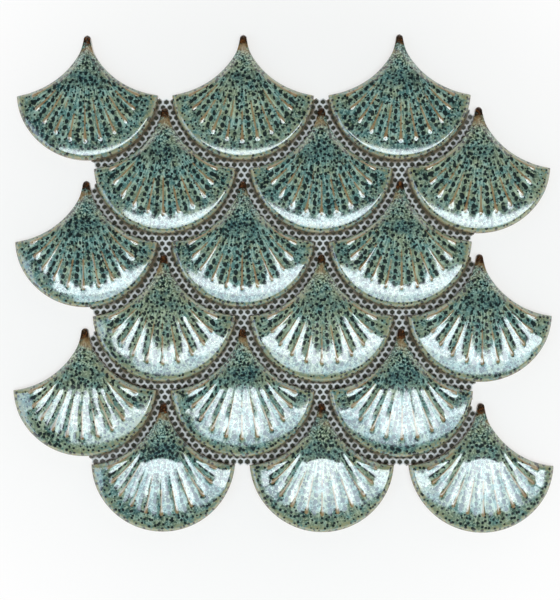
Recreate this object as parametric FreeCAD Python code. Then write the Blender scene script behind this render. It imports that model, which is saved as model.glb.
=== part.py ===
import FreeCAD, Part
import math
import os

from FreeCAD import Vector

# Mosaic sheet of fish scale tiles: six staggered rows of three glazed scales, glued to one net.
# Millimetres. +Z points out of the glazed face, and the scales' apexes point along +Y.
# The origin is the middle of the sheet, on the back of the net.

# Sheet layout
ROWS = 6
COLUMNS = 3

# Scale outline, seen from above, about the centre of its round lower edge
SCALE_RADIUS = 36.5      # round lower edge
JOINT = 4.5              # grout joint along the hollow flanks
APEX_REACH = 9.0         # apex below the line of centres of the row above
APEX_GAP = 10.1          # from a scale's lowest point to the apex two rows below

# Scale section
WALL_HEIGHT = 4.5        # upright edge, from the back up to the slopes
CROWN_HEIGHT = 7.0       # from the back up to the crown
RIM_WIDTH = 9.0          # sloping rim along the round lower edge
FLANK_BEVEL = 2.6        # bevel along each hollow flank
BROW_START = 3.0         # the crown falls towards the apex from here, above the scale's centre
BROW_FALL = 4.0          # degrees

# Fan of flutes pressed into the crown
FLUTES = 10
FAN_STEP = 15.8          # degrees between the ridges' ends, about the scale's centre
FOCUS_RISE = 5.3         # the flutes run out from this point above the scale's centre
FAN_START = 7.0          # flutes begin this far from that point
FLUTE_DEPTH = 0.8        # at the ridges' ends
FLUTE_FLOOR = 3.0        # flat of the flute's floor at the ridges' ends
RIDGE_LAND = 0.5         # flat left on a ridge at its end

# Backing net
NET_THICKNESS = 0.5
NET_INSET = 1.0          # the net is trimmed this far inside the scales' outer corners

# Layout that follows from the sizes above
FLANK_RADIUS = SCALE_RADIUS + JOINT
SIDE_STEP = math.sqrt(FLANK_RADIUS ** 2 - APEX_REACH ** 2)
COLUMN_PITCH = 2 * SIDE_STEP
ROW_PITCH = SCALE_RADIUS + APEX_GAP - APEX_REACH
APEX_RISE = ROW_PITCH - APEX_REACH
FAN_RADIUS = SCALE_RADIUS - RIM_WIDTH
UP = Vector(0, 0, 1)
LEFT, RIGHT = -1, 1


def scale_centre(row, column):
    """Centre of a scale's round edge; every second row is stepped half a pitch to the right."""
    half_width = ((COLUMNS - 1) * COLUMN_PITCH + SIDE_STEP) / 2
    first_row = (SCALE_RADIUS + (ROWS - 1) * ROW_PITCH - APEX_RISE) / 2
    across = column * COLUMN_PITCH + SIDE_STEP * (row % 2)
    return Vector(across - half_width, first_row - row * ROW_PITCH, 0)


def flank_bite(side):
    """What the upper neighbour on one side takes away: its disc and the joint, flared by the bevel."""
    rise = CROWN_HEIGHT - WALL_HEIGHT
    profile = [
        (0, -rise),
        (FLANK_RADIUS, -rise),
        (FLANK_RADIUS, WALL_HEIGHT),
        (FLANK_RADIUS + 2 * FLANK_BEVEL, WALL_HEIGHT + 2 * rise),
        (0, WALL_HEIGHT + 2 * rise),
    ]
    neighbour = Vector(side * SIDE_STEP, ROW_PITCH, 0)
    corners = [neighbour + Vector(radius, 0, height) for radius, height in profile]
    section = Part.Face(Part.makePolygon(corners + corners[:1]))
    return section.revolve(neighbour, UP, 360)


def rim_facet(turn):
    """Block that cuts the rim's slope in front of one ridge, turned from straight down."""
    reach = 2 * SCALE_RADIUS
    block = Part.makeBox(reach, 2 * reach, reach, Vector(0, -reach, 0))
    slope = math.degrees(math.atan2(CROWN_HEIGHT - WALL_HEIGHT, RIM_WIDTH))
    block.rotate(Vector(), Vector(0, 1, 0), slope)
    block.translate(Vector(FAN_RADIUS, 0, CROWN_HEIGHT))
    block.rotate(Vector(), UP, turn - 90)
    return block


def brow_cut():
    """Block above the crown that lets it fall gently towards the apex."""
    reach = 2 * SCALE_RADIUS
    block = Part.makeBox(2 * reach, reach, reach, Vector(-reach, 0, 0))
    block.rotate(Vector(), Vector(1, 0, 0), -BROW_FALL)
    block.translate(Vector(0, BROW_START, CROWN_HEIGHT))
    return block


def pyramid(tip, corners):
    """Solid from a tip to a flat section."""
    faces = [Part.Face(Part.makePolygon(corners + corners[:1]))]
    for start, end in zip(corners, corners[1:] + corners[:1]):
        faces.append(Part.Face(Part.makePolygon([tip, start, end, tip])))
    solid = Part.makeSolid(Part.makeShell(faces))
    if solid.Volume < 0:
        solid.reverse()
    return solid


def flute(turn):
    """Cutter for one flute: a trough that starts at a point and deepens and widens to the rim."""
    angle = math.radians(turn)
    end = Vector(FAN_RADIUS * math.sin(angle), -FAN_RADIUS * math.cos(angle), 0)
    run = end - Vector(0, FOCUS_RISE, 0)
    half_width = FAN_RADIUS * math.sin(math.radians(FAN_STEP / 2)) - RIDGE_LAND / 2
    half_floor = FLUTE_FLOOR / 2
    stretch = (run.Length - FAN_START + RIM_WIDTH) / (run.Length - FAN_START)
    far = (run.Length - FAN_START) * stretch
    low, high = -FLUTE_DEPTH * stretch, FLUTE_DEPTH * stretch
    narrow, wide = half_floor * stretch, (2 * half_width - half_floor) * stretch
    section = [
        Vector(far, -narrow, low),
        Vector(far, narrow, low),
        Vector(far, wide, high),
        Vector(far, -wide, high),
    ]
    cutter = pyramid(Vector(), section)
    cutter.translate(Vector(FAN_START, 0, 0))
    cutter.rotate(Vector(), UP, math.degrees(math.atan2(run.y, run.x)))
    cutter.translate(Vector(0, FOCUS_RISE, CROWN_HEIGHT))
    return cutter


def scale():
    """One fish scale tile about the centre of its round edge, with its back at height zero."""
    ridge_turns = [(index - FLUTES / 2) * FAN_STEP for index in range(FLUTES + 1)]
    flute_turns = [turn + FAN_STEP / 2 for turn in ridge_turns[:-1]]
    blank = Part.makeCylinder(SCALE_RADIUS, CROWN_HEIGHT)
    outline = blank.cut([flank_bite(LEFT), flank_bite(RIGHT)])
    crown = outline.cut([rim_facet(turn) for turn in ridge_turns] + [brow_cut()])
    return crown.cut([flute(turn) for turn in flute_turns]).Solids[0]


def net_corners():
    """Trim points of the net under the right half of one scale, drawn in from its outline.

    Straight cuts from the apex to the knee and on to the tip stay under the hollow flank.
    """
    radius = SCALE_RADIUS - NET_INSET
    flank = FLANK_RADIUS + NET_INSET
    neighbour = Vector(SIDE_STEP, ROW_PITCH, 0)
    span = neighbour.Length
    along = (radius ** 2 - flank ** 2 + span ** 2) / (2 * span)
    across = math.sqrt(radius ** 2 - along ** 2)
    apex = Vector(0, ROW_PITCH - math.sqrt(flank ** 2 - SIDE_STEP ** 2), 0)
    tip = (neighbour * along + Vector(ROW_PITCH, -SIDE_STEP, 0) * across) / span
    bottom = Vector(0, -radius, 0)
    half_turn = (apex - neighbour).getAngle(tip - neighbour) / 2
    outward = ((apex + tip) / 2 - neighbour).normalize()
    return {
        "apex": apex,
        "knee": neighbour + outward * (flank / math.cos(half_turn / 2)),
        "tip": tip,
        "heel": (tip + bottom).normalize() * radius,
        "bottom": bottom,
    }


def net_outline():
    """Trimmed outline of the net, clockwise from the left tip of the top row's first scale."""
    corners = net_corners()
    last_row, last_column = ROWS - 1, COLUMNS - 1
    path = []

    def follow(row, column, side, *names):
        centre = scale_centre(row, column)
        for name in names:
            path.append(centre + Vector(side * corners[name].x, corners[name].y, 0))

    for column in range(COLUMNS):
        follow(0, column, LEFT, "tip", "knee")
        follow(0, column, RIGHT, "apex", "knee", "tip")
    for row in range(1, ROWS):
        if row % 2:
            follow(row, last_column, RIGHT, "apex", "knee", "tip")
        else:
            follow(row - 1, last_column, RIGHT, "heel", "bottom")
            follow(row, last_column, RIGHT, "tip")
    for column in range(last_column, -1, -1):
        if column < last_column:
            follow(last_row, column, RIGHT, "tip")
        follow(last_row, column, RIGHT, "heel", "bottom")
        follow(last_row, column, LEFT, "heel", "tip")
    for row in range(last_row, 0, -1):
        if row % 2:
            follow(row - 1, 0, LEFT, "bottom", "heel", "tip")
        else:
            follow(row, 0, LEFT, "knee", "apex")
            follow(row - 1, 0, LEFT, "tip")
    return Part.makePolygon(path)


def backing_net():
    """The net as one thin sheet under all the scales, without its fine holes."""
    return Part.Face(net_outline()).extrude(UP * NET_THICKNESS)


def main():
    os.makedirs("parts", exist_ok=True)
    backing_net().exportStep("parts/backing_net.step")
    pattern = scale()
    for row in range(ROWS):
        for column in range(COLUMNS):
            tile = pattern.copy()
            tile.translate(scale_centre(row, column) + UP * NET_THICKNESS)
            tile.exportStep(f"parts/scale_row{row + 1}_{column + 1}.step")


main()
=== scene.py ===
import math

import bpy
import numpy as np
from mathutils import Matrix, Vector


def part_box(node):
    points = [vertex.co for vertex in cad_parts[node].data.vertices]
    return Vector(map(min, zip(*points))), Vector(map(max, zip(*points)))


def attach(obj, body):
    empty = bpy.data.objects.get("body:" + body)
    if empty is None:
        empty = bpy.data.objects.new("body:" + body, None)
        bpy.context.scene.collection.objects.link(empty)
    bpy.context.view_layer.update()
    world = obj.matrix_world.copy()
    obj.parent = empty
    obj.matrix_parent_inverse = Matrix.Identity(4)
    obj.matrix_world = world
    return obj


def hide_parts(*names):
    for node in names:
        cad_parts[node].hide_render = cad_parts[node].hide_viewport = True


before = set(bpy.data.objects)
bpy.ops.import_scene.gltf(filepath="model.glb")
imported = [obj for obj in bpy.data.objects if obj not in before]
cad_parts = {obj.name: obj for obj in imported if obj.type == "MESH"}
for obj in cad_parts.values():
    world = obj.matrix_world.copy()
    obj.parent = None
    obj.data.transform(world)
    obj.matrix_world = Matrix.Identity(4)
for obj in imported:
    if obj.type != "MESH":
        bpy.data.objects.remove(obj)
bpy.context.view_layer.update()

# Lengths are in millimetres up to the moment a mesh is made, and in metres from there on
MM = 0.001

# Scale outline, about the centre of its round lower edge
SCALE_RADIUS = 36.5
SIDE_STEP = 40.0                 # to the upper neighbour's centre, sideways
ROW_PITCH = 37.6                 # to the upper neighbour's centre, upwards
FLANK_RADIUS = 41.0              # hollow flank, about the upper neighbour's centre
NEIGHBOUR = np.array([SIDE_STEP, ROW_PITCH])
NUB_HALF, NUB_REACH = 1.6, 12.0  # the apex ends in a round nub, which is lost over this reach
FAN_LIFT = 2.0                   # bends the lines of the face up towards the flutes' focus

# Scale section, above its back
FACE_HEIGHT = 6.75               # crown, a trace under the solid's to leave room for lean and warp
NET_THICKNESS = 0.5

# Slopes of the glazed face
ARCH_RISE, ARCH_NOSE = 1.0, 7.0  # top of the fan's arch, and its roundness
ARCH_DROP = 0.65                 # slope of the arch's sides
ARCH_BLEND = 0.5
BROW_FALL = math.tan(math.radians(4.5))
FAN_FALL = math.tan(math.radians(0.5))
LAND_START, LAND_CURVE = 14.0, 0.003  # the face curves down past this radius, by this much
RIM_START, RIM_CURVE = 26.0, 0.0075   # more so on the rim
ROLL_START, ROLL_CURVE = 34.2, 0.2    # and most where the rim rolls over
RIM_TOP = (0.0, 12.0)            # these slopes fade out between these heights
SHOULDER_FALL, SHOULDER_POWER = 2.0, 1.5
SHOULDER_WIDTHS = (3.0, 5.0)     # along the flanks, near the tips and near the apex
SHOULDER_ENDS = (-5.0, 20.0)

# Fan of flutes
FAN_STEP = math.radians(15.8)    # between the ridges' ends
OUTER_RIDGE = 5                  # ridges are counted from the middle one
FOCUS_RISE = 5.3                 # the flutes run out from this point above the centre
FLUTE_GROWTH = (7.0, 21.0)       # the flutes deepen between these distances from that point
FLUTE_DEPTH = 0.36
FLUTE_FLOOR = 0.15               # roundness of a flute's floor, as a share of its half width
RIDGE_FADE = (24.0, 30.0)        # the ridges between the flutes run out between these radii
RIDGE_HEIGHTS = (0.05, 0.28)     # on each lies a low cord that swells to a bead at its end
RIDGE_HALVES = (0.4, 0.85)
BEAD_SWELL = (22.0, 27.0)
BEAD_NOSE = (26.8, 28.6)

# Zones that only the glaze follows
POOL_PLACE, POOL_REACH = 26.6, 1.5  # glaze pools at the flutes' ends
BORDER_SPREAD = 1.35             # the olive border is this many times as wide as the shoulder
NECK_HALF, NECK_START = 8.0, (-2.5, 2.5)
THROAT_RISE = (5.0, 13.0)        # the neck gives way to the throat between these heights
APEX_RISE = (18.0, 25.0)

# Edge of a scale: inset from the outline, and fall below the face
EDGE_INSET = 0.5
EDGE_TURNS = np.radians([48.0, 60.0, 74.0, 90.0])
EDGE_START = math.radians(36.0)
BACK_BEVEL = 0.4
WALL_STEPS = (0.3, 0.65, 1.0)

# Backing net
HOLE_PITCH = 3.5
HOLE_ROW = 2.7
HOLE_SHARES = (0.56, 0.64)       # hole's width as a share of its cell's
STRAND_STRAY = 0.12
STRAND_EDGE = (0.4, 0.1)         # heights of a strand's upper and lower edge
GLUE_AND_SHADE_REACH = (2.2, 0.4)         # glue stains the net along the scales' round edges, and painted shade darkens it there
MERGE_DIGITS = 2                 # cells' corners that agree to these digits are one

# Sampling of the scale's face
FLUTE_SAMPLES = np.array([0, 0.03, 0.07, 0.12, 0.2, 0.3, 0.4, 0.5, 0.6, 0.7, 0.8, 0.88, 0.93, 0.97])
SHOULDER_SAMPLES = 8
APEX_START = 0.012
FAN_ROWS = 54
RIM_ROWS = 28
RIM_ROWS_START = 25.0
SEARCH_START, SEARCH_HALVINGS = 0.5, 30

# Setting and firing
CREASE = math.radians(50)
SCALE_SEED, NET_SEED = 12, 5
SET_TURN = math.radians(0.2)
SET_SHRINK = 0.9995              # keeps a turned scale inside the solid's box
FACE_LEAN = math.tan(math.radians(0.15))
WARP_HEIGHT, WARP_LENGTH = 0.04, 45.0

# Patterns of the glaze, by their features to the metre
CLOUD_SCALE, SWAY_SCALE, RAGGED_SCALE = 110.0, 150.0, 190.0
WARM_SCALE, WORN_SCALE, WAVE_SCALE = 170.0, 170.0, 210.0
POOL_SCALE, SPECK_SCALE, GRAIN_SCALE = 300.0, 400.0, 640.0
CLAY_SCALE, FINE_SCALE = 700.0, 1100.0
PLAIN = 1.0                      # detail of the plainest patterns
GRAIN_ROUGHNESS = 0.6
WARM_DETAIL, WARM_ROUGHNESS = 3.0, 0.65
CLAY_DETAIL, CLAY_COARSENESS = 4.0, 0.7
TONE_SHIFT = 31.0                # sets each scale's patterns apart from the others'
BREAK, SOFT_BREAK = 0.5, 0.4     # how much the clouds break up a mark, and an edge

# Streaks and dots of the glaze, which follow the flutes
STREAK_ROWS, STREAK_LENGTH = 4.5, 8.0
DOT_PITCH = 3.4
DOT_ACROSS, DOT_ALONG = (0.55, 0.019), (0.68, 0.027)  # half sizes, and their growth along the flute
DOT_ROWS_APART, DOT_STARTS = 3.7, 9.0  # a noise gives each row a start of its own
DOT_SWAY, DOT_STRAY, DOT_RAGGED = 0.6, 1.5, 2.0  # unevenness along the row, across it and in shape
DOT_STEP = (1.2, 0.7)
DOT_END = (32.0, 29.0)           # the rows end at this distance from the focus
DOT_TOP = (0.25, 0.02)           # and stay out of the throat

# Layers of the glaze: the values between which each sets in, and the share by which it covers
WARM_STEP, WARM_BY_TONE = (0.34, 0.66), 0.06
SEA_STEP, SEA_BY_VALLEY, SEA_BY_TONE = (0.56, 0.8), 0.1, 0.04
FOOT_START, FOOT_END, FOOT_SHARE = (0.1, 0.22), (0.8, 0.45), 0.5
STREAK_STEP, STREAK_SHARE = (0.5, 0.62), 0.7
FLECK_STEP, FLECK_SHARE = (0.54, 0.62), 0.6
NAVY_PATCH, NAVY_BY_TONE, NAVY_SHARE = (0.3, 0.5), 0.15, 0.85
MIST_STEP = (0.43, 0.55)
THROAT_STEP, THROAT_SHARE = (0.44, 0.6), 0.75
OLIVE_STEP = (0.4, 0.58)
BORDER_STEP, BORDER_SHARE, BORDER_LOSS = (0.0, 0.6), 0.65, 0.35  # less is left on the throat
RIM_STEP, RIM_SHARE = (0.76, 1.12), 0.8
SPECK_STEP = (0.54, 0.44)
NECK_CROWD, RIM_CROWD, VALLEY_THIN = 0.06, 0.03, 0.09  # where the specks crowd and where they thin out
POOL_STEP = (1.0, 1.2)
INK_SHARE = 0.95
GOLD_STEP, GOLD_SHARE = (0.12, 0.55), 0.8
WORN_STEP, WORN_REACH, WORN_BY_REACH = (0.44, 0.64), (12.0, 30.0), 0.25
THIN_STEP, THIN_BREAK, THIN_SHARE = (0.97, 1.05), 0.1, 0.8
APEX_STEP, RUST_STEP = (1.12, 1.48), (0.45, 0.7)
BARE_STEP = (0.3, 0.55)

# Surface of the glaze: what rim and clay add to the roughness, and the heights of its unevenness in metres
GLAZE_ROUGHNESS, RIM_ROUGHNESS, CLAY_ROUGHNESS = 0.1, 0.04, 0.65
GLAZE_IOR, COAT_IOR, COAT_ROUGHNESS = 1.75, 1.6, 0.1
DULL_ROUGHNESS, DULL_IOR = 0.4, 1.25
DULL_SHARE, DULL_SPECKS = 0.04, 0.05
PIT_GRAIN, PIT_INK = 0.1, 0.2
PIT_HEIGHT, WAVE_HEIGHT = 0.00003, 0.00002

# Surface of the net
FIBRE_SCALE, FIBRE_DETAIL, FIBRE_COARSENESS = 2600.0, 3.0, 0.7
FIBRE_HEIGHT = 0.00012
STAIN_SCALE, STAIN_DETAIL = 130.0, 3.0
STAIN_BY_GLUE_AND_SHADE, STAIN_BY_CHANCE, STAIN_AND_SHADE_STEP = 0.5, 0.9, (0.45, 0.95)
# Painted shade on the strands, from their crests towards the holes' edges
CREST_STEP, CREST_BREAK = (0.15, 0.6), 0.2
THREAD_ROUGHNESS, FIBRE_ROUGHNESS = 0.7, 0.2


def tint(red, green, blue):
    """A colour written as a screen shows it, in steps of 255, as the light values that a shader takes."""
    share = np.array([red, green, blue]) / 255
    light = np.where(share <= 0.04045, share / 12.92, ((share + 0.055) / 1.055) ** 2.4)
    return (*light.tolist(), 1.0)


# Colours
DEEP_TEAL = tint(28, 72, 72)
DEEP_OLIVE = tint(53, 75, 55)
SEA_BLUE = tint(94, 136, 129)
SEA_OLIVE = tint(136, 149, 119)
CREAM_BLUE = tint(180, 211, 195)
CREAM_OLIVE = tint(202, 214, 180)
NAVY = tint(15, 46, 62)
MIST = tint(108, 143, 129)
OLIVE = tint(160, 156, 114)
INK = tint(5, 26, 28)
GOLD = tint(171, 134, 88)
RUST = tint(131, 81, 40)
EDGE_BROWN = tint(150, 117, 67)
SCORCH = tint(57, 35, 22)
CLAY_DARK = tint(122, 95, 64)
CLAY_PALE = tint(184, 150, 108)
THREAD = tint(240, 239, 236)
THREAD_SHADE = tint(220, 217, 211)
# Painted shade at the holes' edges of the strands
THREAD_HOLE_SHADE = tint(112, 102, 90)
# Brown of glue stains on the net, also used as painted shade along the scales' round edges
THREAD_STAIN_AND_SHADE = tint(112, 97, 74)
FLOOR_PALE = tint(255, 248, 240)
FLOOR_SHADOW = tint(78, 77, 66)
WHITE, BLACK = tint(255, 255, 255), tint(0, 0, 0)

# Floor, in metres
FLOOR_SIZE = 60.0
FLOOR_LEVEL, SHADE_LEVEL = -0.00005, -0.00002
FLOOR_ROUGHNESS = 0.95
FLOOR_GLOW = 0.6                 # share of plain white near the sheet
FLOOR_FADE = (0.11, 0.24)        # distances between which that share grows to all

# Light, in metres: a long window with a bluer sill beside it, both mirrored in the glaze, and some sky
WINDOW_PLACE, WINDOW_SIZE = (0.22, -0.336, 1.382), (2.16, 0.25)
WINDOW_BRIGHTNESS, WINDOW_COLOUR = 6.6, (0.83, 0.94, 1.0)
SILL_PLACE, SILL_SIZE = (0.2, -0.583, 1.295), (1.6, 0.27)
SILL_BRIGHTNESS, SILL_COLOUR = 3.8, (0.72, 0.89, 1.0)
SKY_PLACE, SKY_SIZE = (-1.2, -0.35, 0.9), (0.6, 1.0)
SKY_BRIGHTNESS, SKY_COLOUR = 2.4, (0.62, 0.8, 1.0)
ROOM_HEIGHTS = (0.1, 0.7)        # upward parts of a ray between which the room's light falls
ROOM_STRENGTHS = (1.25, 0.05)
ROOM_COLOUR = (1.0, 0.985, 0.96, 1.0)

# Camera, in metres: nearly overhead, with the sheet filling the picture
SENSOR = 36.0
VIEW_ANGLE = math.radians(40)
CAMERA_PLACE = (0.004, -0.0245, 0.42)
CAMERA_AIM = (-0.001, -0.0101, 0.004)
NEAREST = 0.01


def smooth(low, high, value):
    """Smooth step: 0 up to low, 1 from high on, with a level start and end."""
    share = np.clip((value - low) / (high - low), 0, 1)
    return share * share * (3 - 2 * share)


def past(start, value):
    """How far a value lies past a start, or zero before it."""
    return np.maximum(value - start, 0)


def between(pair, share):
    """Value that goes evenly from a pair's first to its second as the share goes from 0 to 1."""
    return pair[0] + (pair[1] - pair[0]) * share


# Surfaces


def flow_lines(across, down, inset):
    """Points on lines that run from a scale's apex and fan out to its round edge.

    across goes from -1 to 1 and down from 0 to 1. Each line is a rational quadratic curve from the apex
    to a point of the round edge. The two outermost lines are exactly the arcs of the hollow flanks, drawn
    in by the inset, and the control points between them lie on a line that is lifted towards the focus.
    Near the apex all lines spread sideways to a half circle, which makes its nub. The third result counts
    the flutes across the fan, from the middle ridge.
    """
    radius = SCALE_RADIUS - inset
    flank = FLANK_RADIUS + inset
    span = np.hypot(*NEIGHBOUR)
    along = (radius ** 2 - flank ** 2 + span ** 2) / (2 * span)
    aside = math.sqrt(radius ** 2 - along ** 2)
    tip = (NEIGHBOUR * along + np.array([ROW_PITCH, -SIDE_STEP]) * aside) / span
    apex = np.array([0, ROW_PITCH - math.sqrt(flank ** 2 - SIDE_STEP ** 2)])
    middle = (apex + tip) / 2 - NEIGHBOUR
    weight = np.hypot(*middle) / flank
    bend = NEIGHBOUR + middle / weight ** 2
    turn = across * math.atan2(tip[0], -tip[1])
    start_share, bend_share, end_share = (1 - down) ** 2, 2 * weight * down * (1 - down), down ** 2
    total = start_share + bend_share + end_share
    lift = FAN_LIFT * (1 - across ** 4)
    x = (bend_share * bend[0] * across + end_share * radius * np.sin(turn)) / total
    y = start_share * apex[1] + bend_share * (bend[1] + lift) - end_share * radius * np.cos(turn)
    y = y / total
    nub = NUB_HALF * (1 - smooth(0, NUB_REACH, apex[1] - y))
    side = across * math.pi / 2
    return x + nub * np.sin(side), y - nub * (1 - np.cos(side)), turn / FAN_STEP


def face_grid():
    """Shares across and down for the rows and columns of a scale's face.

    Columns crowd at the ridges, and the lowest rows start where each line comes to the rim, which is
    found by halving the range of the search again and again.
    """
    tip_turn = flow_lines(np.ones(1), np.ones(1), EDGE_INSET)[2][0]
    flutes = np.arange(-OUTER_RIDGE, OUTER_RIDGE)[:, None] + FLUTE_SAMPLES
    shoulder = np.linspace(OUTER_RIDGE, tip_turn, SHOULDER_SAMPLES)
    columns = np.concatenate([-shoulder[:0:-1], flutes.ravel(), shoulder]) / tip_turn
    low = np.full_like(columns, SEARCH_START)
    high = np.ones_like(columns)
    for _ in range(SEARCH_HALVINGS):
        half = (low + high) / 2
        x, y, _ = flow_lines(columns, half, EDGE_INSET)
        outside = np.hypot(x, y) > RIM_ROWS_START
        low, high = np.where(outside, low, half), np.where(outside, half, high)
    fan_shares = np.linspace(0, 1, FAN_ROWS, endpoint=False)[:, None]
    rim_shares = np.linspace(0, 1, RIM_ROWS)[:, None]
    fan = APEX_START + (high - APEX_START) * fan_shares
    rim = high + (1 - high) * rim_shares
    down = np.concatenate([fan, rim])
    return np.broadcast_to(columns, down.shape), down


def below_arch(x, y):
    """How far points lie below the arch across the crown, a hyperbola with a round top."""
    return ARCH_RISE - ARCH_DROP * (np.hypot(x, ARCH_NOSE) - ARCH_NOSE) - y


def by_flanks(x, y, spread):
    """1 at the hollow flanks, falling evenly to 0 over the shoulders' width times a spread."""
    flank = np.hypot(np.abs(x) - SIDE_STEP, y - ROW_PITCH) - FLANK_RADIUS
    reach = between(SHOULDER_WIDTHS, smooth(*SHOULDER_ENDS, y)) * spread
    return np.clip(1 - flank / reach, 0, 1)


def plain_face(x, y):
    """Height of a scale's face above its back, without the flutes.

    From an arch across the crown the brow falls evenly to the apex and the fan falls a trace the other
    way. Past set radii the face curves down to the round edge, each time by a square, and shoulders fall
    to the hollow flanks, joined to it by a cubic mean.
    """
    radius = np.hypot(x, y)
    below = below_arch(x, y)
    crest = np.sqrt(below ** 2 + ARCH_BLEND ** 2)
    slopes = BROW_FALL * (crest - below) / 2 + FAN_FALL * (crest + below) / 2
    curves = ((LAND_START, LAND_CURVE), (RIM_START, RIM_CURVE), (ROLL_START, ROLL_CURVE))
    rim = sum(curve * past(start, radius) ** 2 for start, curve in curves) * (1 - smooth(*RIM_TOP, y))
    shoulder = SHOULDER_FALL * by_flanks(x, y, 1) ** SHOULDER_POWER
    return FACE_HEIGHT - slopes - np.cbrt(rim ** 3 + shoulder ** 3)


def relief(x, y, flute):
    """Height of the glazed face above the back, and the zones that the glaze follows.

    Each flute is a trough cut into the plain face: a hyperbola across, so nearly a V with a round floor,
    that deepens away from the focus. The ridges between the troughs fade out on the way to the rim. On
    each lies a low cord, a bell curve across, that swells to a bead at its end.
    """
    radius = np.hypot(x, y)
    along = np.hypot(x, y - FOCUS_RISE)
    growth = smooth(*FLUTE_GROWTH, along)
    fade = 1 - smooth(*RIDGE_FADE, radius)
    swell = smooth(*BEAD_SWELL, radius)
    pitch = np.hypot(np.gradient(x, axis=1), np.gradient(y, axis=1)) / np.gradient(flute, axis=1)
    middle = np.where(np.abs(flute) < OUTER_RIDGE, 2 * (flute - np.floor(flute)) - 1, 1)
    aside = middle * pitch / 2
    climb = (np.hypot(middle, FLUTE_FLOOR) - FLUTE_FLOOR) / (math.hypot(1, FLUTE_FLOOR) - FLUTE_FLOOR)
    scoop = FLUTE_DEPTH * growth * (1 - climb * fade)
    nearest = np.clip(np.round(flute), -OUTER_RIDGE, OUTER_RIDGE)
    from_ridge = (flute - nearest) * pitch / between(RIDGE_HALVES, swell)
    ridge = np.exp(-from_ridge ** 2) * growth * (1 - smooth(*BEAD_NOSE, radius))
    cord = between(RIDGE_HEIGHTS, swell) * ridge
    above_arch = smooth(*NECK_START, -below_arch(x, y))
    throat = smooth(*THROAT_RISE, y)
    zones = {
        "flute": flute,
        "along": along,
        "aside": aside,
        "ridge": ridge,
        "valley": (1 - middle ** 2) * growth * fade,
        "pool": np.exp(-(aside ** 2 + (radius - POOL_PLACE) ** 2) / POOL_REACH ** 2),
        "rim": np.where(y < RIM_TOP[1], past(RIM_START, radius) / (SCALE_RADIUS - RIM_START), 0),
        "neck": above_arch * np.exp(-(x / NECK_HALF) ** 2) * (1 - throat),
        "border": by_flanks(x, y, BORDER_SPREAD),
        "throat": throat,
        "apex": smooth(*APEX_RISE, y),
        "wall": np.zeros_like(x),
    }
    return plain_face(x, y) - scoop + cord, zones


def loop_of(grid):
    """The outer points of a grid in order: down its left side, along its foot, up its right side and back."""
    sides = [grid[:, 0], grid[-1, 1:], grid[-2::-1, -1], grid[0, -2:0:-1]]
    return np.concatenate(sides)


def quads_between(first, second):
    """Faces between two closed loops of point numbers."""
    return np.stack([first, second, np.roll(second, -1), np.roll(first, -1)], axis=1)


def edge_rings(height):
    """Rings of a scale's edge below the given heights of its face: inset, level, and how bare of glaze.

    The profile is part of a circle that rolls over to an upright wall, with a small bevel to the back.
    """
    roll = EDGE_INSET / (1 - math.sin(EDGE_START))
    rolled = [
        (roll * (1 - math.sin(turn)), height - roll * (math.cos(EDGE_START) - math.cos(turn)), 0.0)
        for turn in EDGE_TURNS
    ]
    foot = rolled[-1][1]
    wall = [(0.0, between((foot, BACK_BEVEL), step), step) for step in WALL_STEPS]
    back = (BACK_BEVEL, np.zeros_like(foot), 1.0)
    return rolled + wall + [back]


def scale_surface():
    """One closed scale: its face, an edge profile carried round the outline, and its flat back.

    Returns the points, the faces with four corners, the back's one face and each zone's value at each point.
    """
    across, down = face_grid()
    x, y, flute = flow_lines(across, down, EDGE_INSET)
    height, zones = relief(x, y, flute)
    numbers = np.arange(x.size).reshape(x.shape)
    corners = [numbers[:-1, :-1], numbers[1:, :-1], numbers[1:, 1:], numbers[:-1, 1:]]
    points = [np.stack([x, y, height], axis=-1).reshape(-1, 3)]
    quads = [np.stack(corners, axis=-1).reshape(-1, 4)]
    values = {name: [value.ravel()] for name, value in zones.items()}
    loop, loop_across, loop_down, loop_height = map(loop_of, (numbers, across, down, height))
    count = x.size
    for inset, level, bare in edge_rings(loop_height):
        ring_x, ring_y, _ = flow_lines(loop_across, loop_down, inset)
        points.append(np.stack([ring_x, ring_y, level], axis=-1))
        ring = np.arange(count, count + loop.size)
        quads.append(quads_between(loop, ring))
        for name, value in zones.items():
            values[name].append(np.full(loop.size, bare) if name == "wall" else loop_of(value))
        count += loop.size
        loop = ring
    values = {name: np.concatenate(parts) for name, parts in values.items()}
    return np.concatenate(points), np.concatenate(quads), loop[::-1], values


def over_plate(points, triangles):
    """Whether each point lies over one of a plate's triangles: on the same side of all its edges."""
    found = np.zeros(len(points), bool)
    for triangle in triangles:
        run = np.roll(triangle, -1, axis=0) - triangle
        away = points[:, None] - triangle
        turn = run[:, 0] * away[..., 1] - run[:, 1] * away[..., 0]
        found |= (turn >= 0).all(axis=1) | (turn <= 0).all(axis=1)
    return found


def net_cells(triangles):
    """Middles and corners of the honeycomb cells that lie whole over a flat plate, given by its triangles.

    Holes stand in rows, each second row stepped by half a pitch, and a cell holds the points that are
    nearest to its hole's middle.
    """
    low, high = triangles.min(axis=(0, 1)), triangles.max(axis=(0, 1))
    column, row = np.meshgrid(
        np.arange(math.floor(low[0] / HOLE_PITCH), math.ceil(high[0] / HOLE_PITCH) + 1),
        np.arange(math.floor(low[1] / HOLE_ROW), math.ceil(high[1] / HOLE_ROW) + 1),
    )
    middles = np.stack([(column + (row % 2) / 2) * HOLE_PITCH, row * HOLE_ROW], axis=-1).reshape(-1, 1, 2)
    side = HOLE_PITCH / 2
    top = (side ** 2 + HOLE_ROW ** 2) / (2 * HOLE_ROW)
    knee = HOLE_ROW - top
    cell = np.array([[side, -knee], [side, knee], [0, top], [-side, knee], [-side, -knee], [0, -top]])
    corners = middles + cell
    whole = over_plate(corners.reshape(-1, 2), triangles).reshape(-1, len(cell)).all(axis=1)
    return middles[whole], corners[whole]


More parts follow.
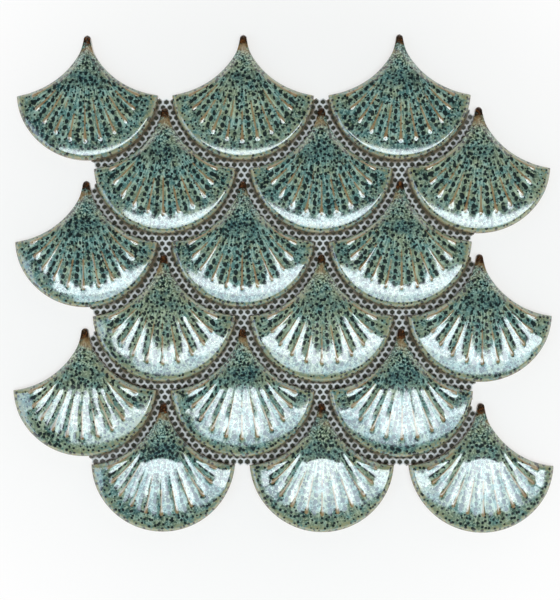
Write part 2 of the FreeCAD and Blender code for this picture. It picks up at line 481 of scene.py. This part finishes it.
def from_round_edges(points, centres):
    """Distance of points in the joints from the nearest scale's round edge.

    A scale counts only for points outside its two hollow flanks.
    """
    x, y = (points[:, None, :2] - centres).T
    bitten = np.hypot(np.abs(x) - SIDE_STEP, y - ROW_PITCH) < FLANK_RADIUS
    return np.where(bitten, np.inf, np.hypot(x, y) - SCALE_RADIUS).min(axis=0)


def net_surface(triangles):
    """Honeycomb net with rounded strands: highest and lowest along the cells' shared borders, falling to the
    edges of the holes, whose corners lie a share of the way out from the cells' middles.

    Returns the points, the faces, the cells' own points and faces, and the area of the cut in square
    millimetres.
    """
    middles, corners = net_cells(triangles)
    count, sides = corners.shape[:2]
    rounded = np.round(corners.reshape(-1, 2), MERGE_DIGITS)
    _, first, border = np.unique(rounded, axis=0, return_index=True, return_inverse=True)
    random = np.random.default_rng(NET_SEED)
    border = border.reshape(count, sides)
    posts = corners.reshape(-1, 2)[first] + random.uniform(-STRAND_STRAY, STRAND_STRAY, (len(first), 2))
    share = random.uniform(*HOLE_SHARES, (count, 1, 1))
    holes = (middles + share * (posts[border] - middles)).reshape(-1, 2)
    levels = [(posts, NET_THICKNESS), (posts, 0.0), (holes, STRAND_EDGE[0]), (holes, STRAND_EDGE[1])]
    points = np.concatenate([np.column_stack([flat, np.full(len(flat), level)]) for flat, level in levels])
    upper, lower = border, border + len(posts)
    upper_hole = 2 * len(posts) + np.arange(count * sides).reshape(count, sides)
    lower_hole = upper_hole + count * sides
    loops = [upper, upper_hole, lower_hole, lower]
    bands = [
        np.stack([outer, np.roll(outer, -1, axis=1), np.roll(inner, -1, axis=1), inner], axis=-1)
        for outer, inner in zip(loops[:-1], loops[1:])
    ]
    edges = np.stack([upper, np.roll(upper, -1, axis=1)], axis=-1).reshape(-1, 2)
    keys = edges[:, 0] * len(posts) + edges[:, 1]
    free = edges[~np.isin(keys, edges[:, 1] * len(posts) + edges[:, 0])]
    cut = np.stack([free[:, 0], free[:, 0] + len(posts), free[:, 1] + len(posts), free[:, 1]], axis=-1)
    quads = np.concatenate([band.reshape(-1, 4) for band in bands] + [cut])
    return points, quads, (points[len(posts): 2 * len(posts)], border), count * HOLE_PITCH * HOLE_ROW


# Shaders

# Numbers of the Mix node's sockets for colours
MIX_SHARE, MIX_FIRST, MIX_SECOND, MIX_RESULT = 0, 6, 7, 2


class Wire:
    """A shader value: one output socket, with arithmetic that adds Math nodes."""

    def __init__(self, finish, socket):
        self.finish = finish
        self.socket = socket

    def math(self, operation, *values):
        """Adds one Math node."""
        return self.finish.add("ShaderNodeMath", {"operation": operation}, values)

    def __add__(self, other):
        return self.math("ADD", self, other)

    def __radd__(self, other):
        return self.math("ADD", other, self)

    def __sub__(self, other):
        return self.math("SUBTRACT", self, other)

    def __rsub__(self, other):
        return self.math("SUBTRACT", other, self)

    def __mul__(self, other):
        return self.math("MULTIPLY", self, other)

    def __rmul__(self, other):
        return self.math("MULTIPLY", other, self)

    def __truediv__(self, other):
        return self.math("DIVIDE", self, other)

    def __rtruediv__(self, other):
        return self.math("DIVIDE", other, self)

    def whole(self):
        """The whole number at or below the value."""
        return self.math("FLOOR", self)

    def remainder(self):
        """What the value has above that whole number."""
        return self.math("FRACT", self)


class Finish:
    """The node tree of a material or of the world, with its main shader."""

    def __init__(self, owner, shader="Principled BSDF"):
        self.owner = owner
        owner.use_nodes = True
        self.tree = owner.node_tree
        self.shader = self.tree.nodes[shader]

    def put(self, socket, value):
        """Links a socket to a shader value, or sets it to a plain one."""
        if isinstance(value, Wire):
            self.tree.links.new(value.socket, socket)
        else:
            socket.default_value = value

    def add(self, kind, settings, values, result=0):
        """Adds a node of any kind: its settings come first, then its sockets' values or links."""
        node = self.tree.nodes.new(kind)
        for name, value in settings.items():
            setattr(node, name, value)
        for key, value in values.items() if isinstance(values, dict) else enumerate(values):
            self.put(node.inputs[key], value)
        return Wire(self, node.outputs[result])

    def surface(self, **values):
        """Sets the main shader's own sockets, named with underscores for spaces."""
        for name, value in values.items():
            self.put(self.shader.inputs[name.replace("_", " ")], value)

    def cover(self, share, **values):
        """Lays a second shader over the first, by a share that may vary."""
        named = {name.replace("_", " "): value for name, value in values.items()}
        second = self.add("ShaderNodeBsdfPrincipled", {}, named)
        mixed = self.add("ShaderNodeMixShader", {}, (share, Wire(self, self.shader.outputs[0]), second))
        self.put(self.tree.nodes["Material Output"].inputs["Surface"], mixed)

    def place(self):
        """Where a point lies on the sheet, in metres."""
        return self.add("ShaderNodeTexCoord", {}, {}, "Object")

    def zone(self, name):
        """A zone's value, kept on the mesh's points."""
        return self.add("ShaderNodeAttribute", {"attribute_name": name}, {}, "Fac")

    def noise(self, place, scale, detail=2.0, roughness=0.5):
        """Noise between 0 and 1; the scale is its features to one unit of the place."""
        values = {"Vector": place, "Scale": scale, "Detail": detail, "Roughness": roughness}
        return self.add("ShaderNodeTexNoise", {}, values, "Fac")

    def cells(self, place, scale):
        """Distance from the middle of the nearest of many scattered cells."""
        values = {"Vector": place, "Scale": scale}
        return self.add("ShaderNodeTexVoronoi", {"voronoi_dimensions": "2D"}, values, "Distance")

    def step(self, value, low, high, results=(0.0, 1.0)):
        """Smooth step from the first result at low to the second at high; low may be the larger."""
        names = ("Value", "From Min", "From Max", "To Min", "To Max")
        values = dict(zip(names, (value, low, high, *results)))
        return self.add("ShaderNodeMapRange", {"interpolation_type": "SMOOTHSTEP"}, values)

    def blend(self, share, first, second):
        """Colour that goes from the first to the second as the share goes from 0 to 1."""
        values = {MIX_SHARE: share, MIX_FIRST: first, MIX_SECOND: second}
        return self.add("ShaderNodeMix", {"data_type": "RGBA"}, values, MIX_RESULT)

    def layered(self, colour, layers):
        """A colour with other colours laid over it in turn, each by its share."""
        for share, over in layers:
            colour = self.blend(share, colour, over)
        return colour

    def vector(self, x, y, z):
        """A place from its three parts."""
        return self.add("ShaderNodeCombineXYZ", {}, (x, y, z))

    def bump(self, height, distance, normal=None):
        """Normal of a surface raised by a height times a distance, over another normal if one is given."""
        values = {"Height": height, "Distance": distance}
        if normal:
            values["Normal"] = normal
        return self.add("ShaderNodeBump", {}, values)


class Glaze(Finish):
    """The scales' glaze, with the zones and patterns that several of its layers share."""

    def __init__(self):
        super().__init__(bpy.data.materials.new("speckled_glaze"))
        self.spot = self.place()
        self.tone = self.zone("tone")
        self.rim = self.zone("rim")
        self.neck = self.zone("neck")
        self.throat = self.zone("throat")
        self.along = self.zone("along")
        self.flute = self.zone("flute")
        self.valley = self.zone("valley")
        self.clouds = self.noise(self.spot, CLOUD_SCALE)
        self.grain = self.noise(self.spot, GRAIN_SCALE, roughness=GRAIN_ROUGHNESS)
        self.fine = self.noise(self.spot, FINE_SCALE, PLAIN)


def streak_share(glaze):
    """Pale streaks that run down the flutes: a noise drawn out along them."""
    run = glaze.along * (1 / STREAK_LENGTH) + glaze.tone * TONE_SHIFT
    flow = glaze.vector(glaze.flute * STREAK_ROWS, run, 0.0)
    return glaze.step(glaze.noise(flow, 1.0), *STREAK_STEP)


def dot_share(glaze):
    """Row of dark dots down the middle of each flute, larger towards the rim and uneven in place and size.

    A dot is an ellipse: the ways across and down from its middle, each over the dot's half size there and
    squared, add up to about 1 on its edge.
    """
    row = glaze.vector(glaze.flute.whole() * DOT_ROWS_APART, glaze.tone * TONE_SHIFT, 0.0)
    start = glaze.noise(row, 1.0) * DOT_STARTS
    sway = glaze.noise(glaze.spot, SWAY_SCALE, PLAIN)
    run = glaze.along * (1 / DOT_PITCH) + start + sway * DOT_SWAY
    across = glaze.zone("aside") + (sway - 0.5) * DOT_STRAY
    across = across / (glaze.along * DOT_ACROSS[1] + DOT_ACROSS[0])
    down = (run.remainder() - 0.5) * DOT_PITCH
    down = down / (glaze.along * DOT_ALONG[1] + DOT_ALONG[0])
    ragged = (glaze.noise(glaze.spot, RAGGED_SCALE, PLAIN) - 0.5) * DOT_RAGGED
    dots = glaze.step(across * across + down * down + ragged, *DOT_STEP)
    ends = glaze.step(glaze.along, *DOT_END) * glaze.step(glaze.throat, *DOT_TOP)
    return dots * ends * (1 - glaze.neck)


def speck_share(glaze):
    """Small dark specks at the middles of scattered cells, crowded on neck and rim and thin in the flutes."""
    crowd = glaze.neck * NECK_CROWD + glaze.rim * RIM_CROWD - glaze.valley * VALLEY_THIN
    cells = glaze.cells(glaze.spot, SPECK_SCALE)
    return glaze.step(cells + glaze.clouds * BREAK - crowd, *SPECK_STEP)


def ink_share(glaze, specks):
    """All near-black marks: the rows of dots, the pools at the flutes' ends and the specks."""
    pools = glaze.step(glaze.zone("pool") + glaze.noise(glaze.spot, POOL_SCALE, PLAIN), *POOL_STEP)
    return glaze.step(dot_share(glaze) + pools + specks, 0.0, 1.0)


def body_colour(glaze, streaks):
    """Colour of the glaze under its marks, laid on in layers.

    Deep teal is broken by a sea grey-green, darker again below the fan, with cream streaks and flecks, a
    navy neck, a mottled throat and olive borders along flanks and rim. Deep, sea and cream each turn from
    a bluer to an olive tone in patches.
    """
    patches = glaze.noise(glaze.spot, WARM_SCALE, WARM_DETAIL, WARM_ROUGHNESS)
    warmth = glaze.step(patches + glaze.tone * WARM_BY_TONE, *WARM_STEP)
    deep = glaze.blend(warmth, DEEP_TEAL, DEEP_OLIVE)
    sea = glaze.blend(warmth, SEA_BLUE, SEA_OLIVE)
    cream = glaze.blend(warmth, CREAM_BLUE, CREAM_OLIVE)
    pale = glaze.grain + glaze.clouds * BREAK + glaze.valley * SEA_BY_VALLEY + glaze.tone * SEA_BY_TONE
    foot = glaze.step(glaze.rim, *FOOT_START) * glaze.step(glaze.rim + glaze.clouds * SOFT_BREAK, *FOOT_END)
    fan = (1 - glaze.neck) * (1 - glaze.rim) * (1 - glaze.throat)
    flecks = glaze.step(glaze.fine, *FLECK_STEP)
    neck = glaze.neck * glaze.step(glaze.clouds - glaze.tone * NAVY_BY_TONE, *NAVY_PATCH)
    navy = glaze.blend(glaze.step(glaze.fine, *MIST_STEP), NAVY, MIST)
    mottle = glaze.blend(glaze.step(glaze.fine, *THROAT_STEP), deep, cream)
    flanks = glaze.step(glaze.zone("border"), *BORDER_STEP) * (BORDER_SHARE - glaze.throat * BORDER_LOSS)
    rim = glaze.step(glaze.rim + glaze.clouds * BREAK, *RIM_STEP) * RIM_SHARE
    olive = glaze.blend(glaze.step(glaze.grain, *OLIVE_STEP), sea, OLIVE)
    layers = [
        (glaze.step(pale, *SEA_STEP), sea),
        (foot * FOOT_SHARE, deep),
        (streaks * fan * STREAK_SHARE, cream),
        (flecks * FLECK_SHARE, cream),
        (neck * NAVY_SHARE, navy),
        (glaze.throat * THROAT_SHARE, mottle),
        (glaze.step(flanks + rim, 0.0, 1.0), olive),
    ]
    return glaze.layered(deep, layers)


def marked_colour(glaze, body, ink):
    """The glaze's body with near-black marks, worn golden ridges, a thin brown edge and a burnt apex."""
    reach = glaze.step(glaze.along, *WORN_REACH) * WORN_BY_REACH
    worn = glaze.step(glaze.noise(glaze.spot, WORN_SCALE) + reach, *WORN_STEP)
    ridge = glaze.step(glaze.zone("ridge"), *GOLD_STEP)
    thin = glaze.step(glaze.rim + glaze.grain * THIN_BREAK, *THIN_STEP)
    apex = glaze.step(glaze.zone("apex") + glaze.grain, *APEX_STEP)
    burnt = glaze.blend(glaze.step(glaze.grain, *RUST_STEP), SCORCH, RUST)
    layers = [
        (ink * INK_SHARE, INK),
        (ridge * worn * GOLD_SHARE, GOLD),
        (thin * THIN_SHARE, EDGE_BROWN),
        (apex, burnt),
    ]
    return glaze.layered(body, layers)


def glaze_finish():
    """Speckled reactive glaze, pitted and a little wavy, over bare brown clay walls.

    A thin dull film lies on the gloss, on the specks and away from the streaks.
    """
    glaze = Glaze()
    streaks = streak_share(glaze)
    specks = speck_share(glaze)
    ink = ink_share(glaze, specks)
    colour = marked_colour(glaze, body_colour(glaze, streaks), ink)
    bare = glaze.step(glaze.zone("wall") + glaze.clouds * SOFT_BREAK, *BARE_STEP)
    crumbs = glaze.noise(glaze.spot, CLAY_SCALE, CLAY_DETAIL, CLAY_COARSENESS)
    clay = glaze.blend(crumbs, CLAY_DARK, CLAY_PALE)
    pits = glaze.grain * PIT_GRAIN + glaze.fine * PIT_GRAIN - ink * PIT_INK
    waves = glaze.noise(glaze.spot, WAVE_SCALE, PLAIN)
    glaze.surface(
        Base_Color=glaze.blend(bare, colour, clay),
        Roughness=GLAZE_ROUGHNESS + glaze.rim * RIM_ROUGHNESS + bare * CLAY_ROUGHNESS,
        Normal=glaze.bump(pits, PIT_HEIGHT, glaze.bump(waves, WAVE_HEIGHT)),
    )
    glaze.surface(IOR=GLAZE_IOR, Coat_Weight=1.0, Coat_IOR=COAT_IOR, Coat_Roughness=COAT_ROUGHNESS)
    dull = (1 - streaks) * DULL_SHARE + specks * DULL_SPECKS
    glaze.cover(dull * (1 - bare), Base_Color=INK, Roughness=DULL_ROUGHNESS, IOR=DULL_IOR)
    return glaze.owner


def net_finish():
    """White glass-thread net of fine fibres, with painted shade towards the holes' edges, brown where it
    soaked up glue, and with painted shade along the scales' round edges.
    """
    net = Finish(bpy.data.materials.new("net_thread"))
    place = net.place()
    fibres = net.noise(place, FIBRE_SCALE, FIBRE_DETAIL, FIBRE_COARSENESS)
    chance = net.noise(place, STAIN_SCALE, STAIN_DETAIL)
    # Glue stains and random stains, plus painted shade along the scales' round edges
    stains_and_shade = net.step(net.zone("glue_and_shade") * STAIN_BY_GLUE_AND_SHADE + chance * STAIN_BY_CHANCE, *STAIN_AND_SHADE_STEP)
    # Painted shade: strands darken from their crests towards the holes
    crest = net.step(net.zone("crest") + fibres * CREST_BREAK, *CREST_STEP)
    thread = net.blend(crest, THREAD_HOLE_SHADE, net.blend(fibres, THREAD_SHADE, THREAD))
    net.surface(
        Base_Color=net.blend(stains_and_shade, thread, THREAD_STAIN_AND_SHADE),
        Roughness=THREAD_ROUGHNESS + fibres * FIBRE_ROUGHNESS,
        Normal=net.bump(fibres, FIBRE_HEIGHT),
    )
    return net.owner


def floor_finish(name, colour, glow):
    """Plain matt floor that fades to white away from the sheet, for the rays that see it or mirror it."""
    floor = Finish(bpy.data.materials.new(name))
    floor.surface(Base_Color=colour, Roughness=FLOOR_ROUGHNESS, Specular_IOR_Level=0.0)
    kinds = ("Camera", "Glossy", "Transmission")
    seen, mirrored, through = (floor.add("ShaderNodeLightPath", {}, {}, f"Is {kind} Ray") for kind in kinds)
    distance = floor.add("ShaderNodeVectorMath", {"operation": "LENGTH"}, (floor.place(),), "Value")
    far = floor.step(distance, *FLOOR_FADE)
    floor.cover(
        (seen + mirrored + through) * (glow + far * (1 - glow)),
        Base_Color=BLACK,
        Specular_IOR_Level=0.0,
        Emission_Color=WHITE,
        Emission_Strength=1.0,
    )
    return floor.owner


# Pieces


def make_mesh(name, points, faces, material):
    """A smooth mesh from points in millimetres, with its creases kept sharp."""
    mesh = bpy.data.meshes.new(name)
    mesh.from_pydata((points * MM).tolist(), [], faces)
    mesh.materials.append(material)
    mesh.shade_smooth()
    mesh.set_sharp_from_angle(angle=CREASE)
    return mesh


def add_piece(name, mesh, node):
    """Adds a piece to the scene, where it stands for a solid of the frame."""
    piece = bpy.data.objects.new(name, mesh)
    bpy.context.scene.collection.objects.link(piece)
    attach(piece, "root")
    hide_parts(node)
    return piece


def set_zones(mesh, zones):
    """Keeps each zone's values on the mesh's points, where its material reads them."""
    for zone, value in zones.items():
        mesh.attributes.new(zone, "FLOAT", "POINT").data.foreach_set("value", value.astype(np.float32))


def scale_nodes():
    """Names of the frame's scales, in order."""
    return sorted(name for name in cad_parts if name.startswith("scale_"))


def scale_centre(node):
    """Centre of the round edge of one of the frame's scales."""
    low, high = (np.array(corner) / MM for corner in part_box(node))
    return (low[0] + high[0]) / 2, low[1] + SCALE_RADIUS


def placed(points, node, random):
    """The scale's points over one solid of the frame, with a little of the hand that set and fired it.

    The scale is turned a trace, and its face leans a trace and is warped by one long wave; the back stays
    level on the net.
    """
    turn = random.normal(0, SET_TURN)
    lean = random.normal(0, FACE_LEAN, 2)
    wave = random.normal(0, 1, 2) * math.tau / WARP_LENGTH
    x, y, z = points.T
    share = np.clip(z / FACE_HEIGHT, 0, 1)
    warp = WARP_HEIGHT * np.sin(x * wave[0] + y * wave[1])
    height = z + share * (x * lean[0] + y * lean[1] + warp)
    flat_x = SET_SHRINK * (x * math.cos(turn) - y * math.sin(turn))
    flat_y = SET_SHRINK * (x * math.sin(turn) + y * math.cos(turn))
    return np.column_stack([flat_x, flat_y, height]) + np.array([*scale_centre(node), NET_THICKNESS])


def add_scales(material):
    """A glazed scale over each scale of the frame."""
    points, quads, back, zones = scale_surface()
    faces = quads.tolist() + [back.tolist()]
    random = np.random.default_rng(SCALE_SEED)
    for node in scale_nodes():
        zones["tone"] = np.full(len(points), random.uniform(-1, 1))
        mesh = make_mesh("glazed_" + node, placed(points, node, random), faces, material)
        set_zones(mesh, zones)
        add_piece("glazed_" + node, mesh, node)


def plate_top(node):
    """Triangles of the upper face of the frame's flat net, seen from above."""
    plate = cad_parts[node].data
    plate.calc_loop_triangles()
    places = np.empty(3 * len(plate.vertices))
    plate.vertices.foreach_get("co", places)
    numbers = np.empty(3 * len(plate.loop_triangles), np.int32)
    plate.loop_triangles.foreach_get("vertices", numbers)
    corners = places.reshape(-1, 3)[numbers].reshape(-1, 3, 3) / MM
    upper = corners[(corners[..., 2] > NET_THICKNESS / 2).all(axis=1)]
    return upper[..., :2]


def add_net(material):
    """The woven net over the plain sheet of the frame, cut to the same outline."""
    points, quads, cells, area = net_surface(plate_top("backing_net"))
    mesh = make_mesh("woven_net", points, quads.tolist(), material)
    scales = scale_nodes()
    centres = np.array([scale_centre(node) for node in scales])
    # Height share of the strands, which sets their painted shade towards the holes
    crest = np.abs(2 * points[:, 2] / NET_THICKNESS - 1)
    edge = 2 * STRAND_EDGE[0] / NET_THICKNESS - 1
    # Nearness to a round edge: glue there, and painted shade where the scale shades the joint
    glue_and_shade = smooth(*GLUE_AND_SHADE_REACH, from_round_edges(points, centres))
    set_zones(mesh, {"glue_and_shade": glue_and_shade, "crest": (crest - edge) / (1 - edge)})
    net = add_piece("woven_net", mesh, "backing_net")
    return cells


# Stage


def add_ground(name, points, faces, level, colour, glow):
    """Flat stretch of ground at a level just under the sheet."""
    mesh = bpy.data.meshes.new(name)
    mesh.from_pydata([(x, y, level) for x, y in points], [], faces)
    mesh.materials.append(floor_finish(name, colour, glow))
    ground = bpy.data.objects.new(name, mesh)
    bpy.context.scene.collection.objects.link(ground)


def add_floor(cells):
    """Pale floor, and the deep shade on it right under the net, which shows only through the holes."""
    reach = FLOOR_SIZE / 2
    corners = [(-reach, -reach), (reach, -reach), (reach, reach), (-reach, reach)]
    add_ground("pale_floor", corners, [(0, 1, 2, 3)], FLOOR_LEVEL, FLOOR_PALE, FLOOR_GLOW)
    points, faces = cells
    add_ground("net_shade", points[:, :2] * MM, faces.tolist(), SHADE_LEVEL, FLOOR_SHADOW, 0.0)


def looking(place, aim):
    """Turn of a camera or lamp at a place that looks at an aim, with the picture's right side along +X."""
    ahead = (Vector(aim) - Vector(place)).normalized()
    right = (Vector((1, 0, 0)) - ahead * ahead.x).normalized()
    above = right.cross(ahead)
    return Matrix((right, above, -ahead)).transposed().to_euler()


def add_lamp(name, place, size, brightness, colour):
    """Rectangular lamp of a given surface brightness that faces the sheet."""
    lamp = bpy.data.lights.new(name, "AREA")
    lamp.shape = "RECTANGLE"
    lamp.size, lamp.size_y = size
    lamp.energy = brightness * math.pi * size[0] * size[1]
    lamp.color = colour
    stand = bpy.data.objects.new(name, lamp)
    stand.location = place
    stand.rotation_euler = looking(place, (0, 0, 0))
    bpy.context.scene.collection.objects.link(stand)


def add_world():
    """Soft room light: dim overhead, where the glaze mirrors it, and brighter towards the horizon."""
    room = Finish(bpy.data.worlds.new("studio"), "Background")
    ray = room.add("ShaderNodeTexCoord", {}, {}, "Generated")
    height = room.add("ShaderNodeSeparateXYZ", {}, (ray,), "Z")
    room.surface(Color=ROOM_COLOUR, Strength=room.step(height, *ROOM_HEIGHTS, ROOM_STRENGTHS))
    bpy.context.scene.world = room.owner


def add_camera():
    """Camera whose view is a given angle wide."""
    camera = bpy.data.cameras.new("camera")
    camera.sensor_width = SENSOR
    camera.lens = SENSOR / 2 / math.tan(VIEW_ANGLE / 2)
    camera.clip_start = NEAREST
    eye = bpy.data.objects.new("camera", camera)
    eye.location = CAMERA_PLACE
    eye.rotation_euler = looking(CAMERA_PLACE, CAMERA_AIM)
    bpy.context.scene.collection.objects.link(eye)
    bpy.context.scene.camera = eye


def main():
    """Builds the sheet and its stage."""
    bpy.context.scene.view_settings.view_transform = "Standard"
    add_scales(glaze_finish())
    add_floor(add_net(net_finish()))
    add_lamp("window", WINDOW_PLACE, WINDOW_SIZE, WINDOW_BRIGHTNESS, WINDOW_COLOUR)
    add_lamp("sill", SILL_PLACE, SILL_SIZE, SILL_BRIGHTNESS, SILL_COLOUR)
    add_lamp("sky", SKY_PLACE, SKY_SIZE, SKY_BRIGHTNESS, SKY_COLOUR)
    add_world()
    add_camera()


main()
